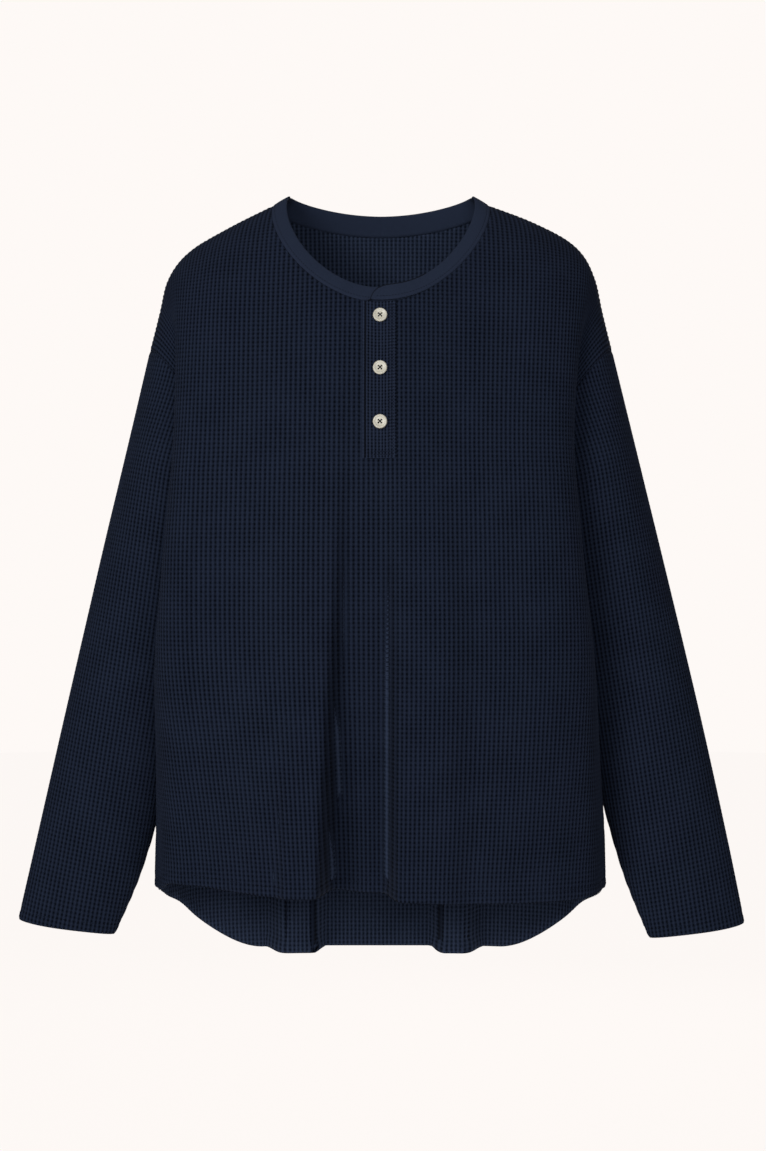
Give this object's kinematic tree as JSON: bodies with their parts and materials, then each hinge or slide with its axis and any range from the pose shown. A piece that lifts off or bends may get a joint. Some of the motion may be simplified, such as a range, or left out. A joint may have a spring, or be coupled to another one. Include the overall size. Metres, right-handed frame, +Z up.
{
  "type": "thermal top",
  "caption": "Hollow long-sleeved thermal top in waffle knit, as it is worn, with a round neck, a short buttoned placket and a hem that is longer at the back.",
  "frame": {"origin": "middle of the neck opening, level with the highest points of the neckband, where the wearer's neck comes through", "axes": "+Z up from the hem towards the neck, -Y the way the front faces, +X to the right of someone who looks at the front"},
  "size_m": [0.7446, 0.2445, 0.79],
  "materials": {
    "knit": "matt waffle knit in dark navy cotton",
    "band": "smooth single knit in dark navy cotton, folded double",
    "button": "cream button with a soft gloss, a raised rim and four holes"
  },
  "bodies": {
    "root": {"front": "knit", "back": "knit", "sleeve_left": "knit", "sleeve_right": "knit", "placket": "knit", "neckband": "band", "button_1": "button", "button_2": "button", "button_3": "button"}
  },
  "joints": []
}
